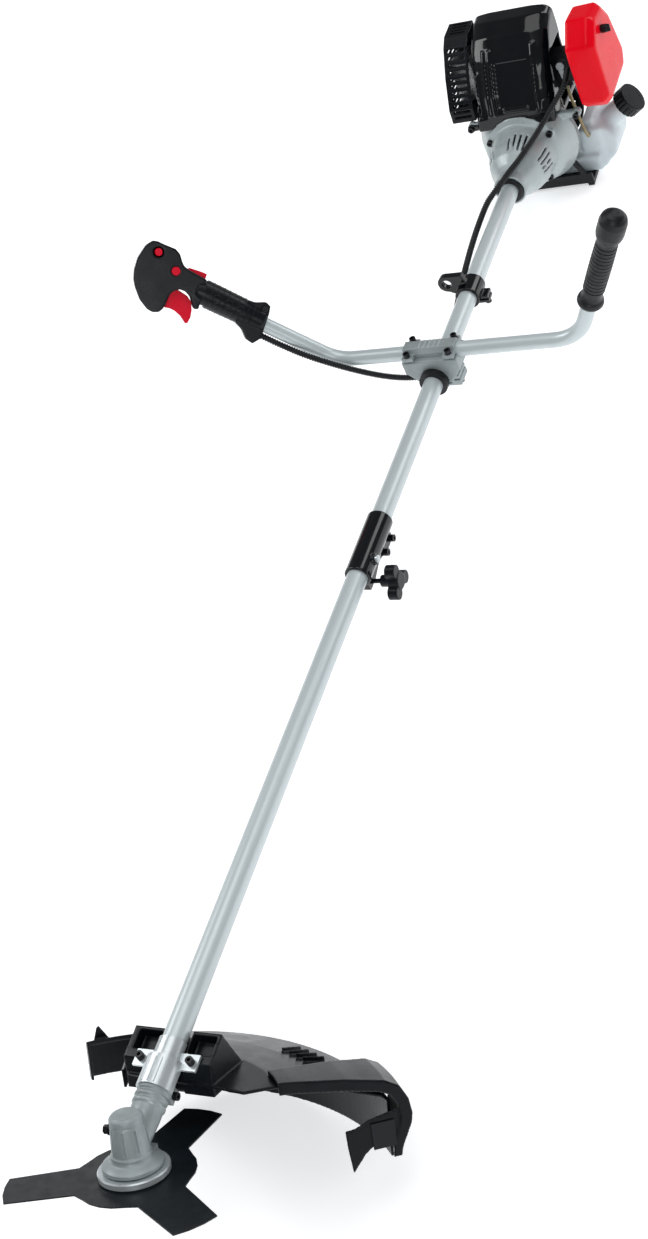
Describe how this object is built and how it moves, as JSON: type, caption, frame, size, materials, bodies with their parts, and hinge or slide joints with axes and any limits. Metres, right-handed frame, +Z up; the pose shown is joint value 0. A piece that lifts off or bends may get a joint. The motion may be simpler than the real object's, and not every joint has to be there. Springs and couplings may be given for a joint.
{
  "type": "brush cutter",
  "caption": "Petrol brush cutter with a three-tooth blade under a curved guard, a split straight shaft, a bicycle handlebar with throttle grip, and a two-stroke engine.",
  "frame": {"origin": "centre of the bounding box at floor level, the machine lying on its guard rim and its engine stand", "axes": "+X along the shaft towards the engine, +Y to the operator's right (throttle side), +Z up from the floor"},
  "size_m": [1.831, 0.6788, 0.4041],
  "materials": {
    "painted_aluminium": "satin clear-coated tube",
    "cast_aluminium": "matte die cast",
    "light_casting": "satin grey painted casting",
    "steel": "machined",
    "zinc_steel": "bright zinc plate",
    "black_blade": "satin black paint",
    "black_screw": "black oxide",
    "gloss_black": "gloss moulding",
    "satin_black": "satin moulding",
    "rubber_black": "matte rubber",
    "red_gloss": "gloss moulding",
    "red_satin": "satin moulding",
    "white_tank": "translucent blow moulding",
    "foam_grey": "open-cell foam",
    "cast_iron_dark": "plain",
    "fuel_hose": "translucent amber hose",
    "bronze": "sintered"
  },
  "bodies": {
    "machine": {"air_filter_base": "satin_black", "air_filter_element": "foam_grey", "carburettor": "cast_aluminium", "clutch_housing": "light_casting", "connecting_rod": "steel", "coupler_sleeve": "gloss_black", "crankcase": "cast_aluminium", "cylinder": "cast_aluminium", "engine_shroud": "gloss_black", "engine_stand": "satin_black", "fuel_line": "fuel_hose", "fuel_tank": "white_tank", "handlebar": "painted_aluminium", "handlebar_cap": "cast_aluminium", "handlebar_mount": "cast_aluminium", "harness_eye": "gloss_black", "muffler": "steel", "muffler_guard": "satin_black", "piston": "cast_aluminium", "plain_grip": "rubber_black", "recoil_housing": "satin_black", "rubber_rings_and_bushes": "rubber_black", "spark_plug": "steel", "throttle_cable": "rubber_black", "throttle_housing_front": "satin_black", "throttle_housing_rear": "satin_black", "upper_fasteners": "black_screw", "upper_tube": "painted_aluminium"},
    "lower_unit": {"lower_tube": "painted_aluminium", "gear_head_housing": "cast_aluminium", "gear_head_bearings": "steel", "blade_guard": "satin_black", "line_cutter": "zinc_steel", "guard_saddle_clamp": "zinc_steel", "lower_fasteners": "black_screw", "lower_shaft_bushes": "bronze"},
    "blade": {"spindle": "steel", "bevel_gear": "steel", "inner_flange": "zinc_steel", "cutting_blade": "black_blade", "outer_flange": "zinc_steel", "blade_nut": "zinc_steel"},
    "lower_shaft": {"lower_drive_shaft": "steel", "bevel_pinion": "steel"},
    "upper_shaft": {"upper_drive_shaft": "steel", "clutch_drum": "steel"},
    "crank": {"crankshaft": "steel", "flywheel": "cast_aluminium", "clutch_shoes": "cast_iron_dark"},
    "coupler_knob": {"star_knob": "satin_black"},
    "coupler_pin": {"lock_pin": "zinc_steel"},
    "trigger": {"throttle_trigger": "red_satin"},
    "lockout": {"trigger_lockout": "red_satin"},
    "stop_button": {"stop_switch": "red_satin"},
    "half_throttle": {"half_throttle_button": "red_satin"},
    "carburettor_arm": {"throttle_arm": "zinc_steel"},
    "cap": {"fuel_cap": "satin_black"},
    "filter_cover": {"air_filter_cover": "red_gloss"},
    "filter_knob": {"air_filter_knob": "satin_black"},
    "starter": {"starter_handle": "satin_black"}
  },
  "joints": [
    {"name": "shaft_coupling_slide", "type": "slide", "parent": "machine", "child": "lower_unit", "axis": [-0.9973, 0, 0.0732], "range_m": [0, 0.09]},
    {"name": "blade_spin", "type": "hinge", "parent": "lower_unit", "child": "blade", "pos_m": [-0.83308, -0.01793, 0.21992], "axis": [0.6184, 0, 0.7859], "continuous": true},
    {"name": "lower_shaft_spin", "type": "hinge", "parent": "lower_unit", "child": "lower_shaft", "pos_m": [-0.77324, -0.01793, 0.21552], "axis": [0.9973, 0, -0.0732], "continuous": true},
    {"name": "upper_shaft_spin", "type": "hinge", "parent": "machine", "child": "upper_shaft", "pos_m": [0.66289, -0.01793, 0.11006], "axis": [0.9973, 0, -0.0732], "continuous": true},
    {"name": "crank_spin", "type": "hinge", "parent": "machine", "child": "crank", "pos_m": [0.83842, -0.01793, 0.09717], "axis": [0.9973, 0, -0.0732], "continuous": true},
    {"name": "coupler_knob_turn", "type": "hinge", "parent": "machine", "child": "coupler_knob", "pos_m": [-0.0747, -0.05793, 0.14267], "axis": [0, 1, 0], "range_deg": [0, 540]},
    {"name": "lock_pin_pull", "type": "slide", "parent": "machine", "child": "coupler_pin", "axis": [0.0127, -0.9848, 0.1735], "range_m": [0, 0.004], "stiffness_N_per_m": 400},
    {"name": "throttle_trigger_squeeze", "type": "hinge", "parent": "machine", "child": "trigger", "pos_m": [0.27654, 0.29293, 0.34797], "axis": [-0.6469, -0.5683, 0.5085], "range_deg": [0, 15], "stiffness_Nm_per_rad": 0.8, "springref_deg": -5.73},
    {"name": "trigger_lockout_press", "type": "hinge", "parent": "machine", "child": "lockout", "pos_m": [0.29097, 0.27842, 0.35012], "axis": [0.6469, 0.5683, -0.5085], "range_deg": [0, 10], "stiffness_Nm_per_rad": 0.4, "springref_deg": -5.73},
    {"name": "stop_switch_press", "type": "slide", "parent": "machine", "child": "stop_button", "axis": [0.6469, 0.5683, -0.5085], "range_m": [0, 0.002], "stiffness_N_per_m": 600, "springref_m": -0.0005},
    {"name": "half_throttle_press", "type": "slide", "parent": "machine", "child": "half_throttle", "axis": [0.6469, 0.5683, -0.5085], "range_m": [0, 0.0028], "stiffness_N_per_m": 600, "springref_m": -0.0005},
    {"name": "throttle_arm_turn", "type": "hinge", "parent": "machine", "child": "carburettor_arm", "pos_m": [0.82565, -0.08793, 0.19637], "axis": [0.9973, 0, -0.0732], "range_deg": [0, 36]},
    {"name": "fuel_cap_turn", "type": "hinge", "parent": "machine", "child": "cap", "pos_m": [0.86765, -0.14869, 0.08567], "axis": [0.0408, -0.8304, 0.5557], "range_deg": [0, 540]},
    {"name": "filter_cover_pull", "type": "slide", "parent": "machine", "child": "filter_cover", "axis": [0, -1, 0], "range_m": [0, 0.07]},
    {"name": "filter_knob_turn", "type": "hinge", "parent": "filter_cover", "child": "filter_knob", "pos_m": [0.82532, -0.17793, 0.24653], "axis": [0, -1, 0], "range_deg": [0, 720]},
    {"name": "starter_pull", "type": "slide", "parent": "machine", "child": "starter", "axis": [0.0634, 0.5, 0.8637], "range_m": [0, 0.6], "stiffness_N_per_m": 15, "springref_m": -0.2}
  ],
  "couplings": [
    {"joint": "lower_shaft_spin", "follows": "blade_spin", "ratio": -1.3571},
    {"joint": "upper_shaft_spin", "follows": "blade_spin", "ratio": -1.3571},
    {"joint": "throttle_arm_turn", "follows": "throttle_trigger_squeeze", "ratio": 2.3}
  ]
}
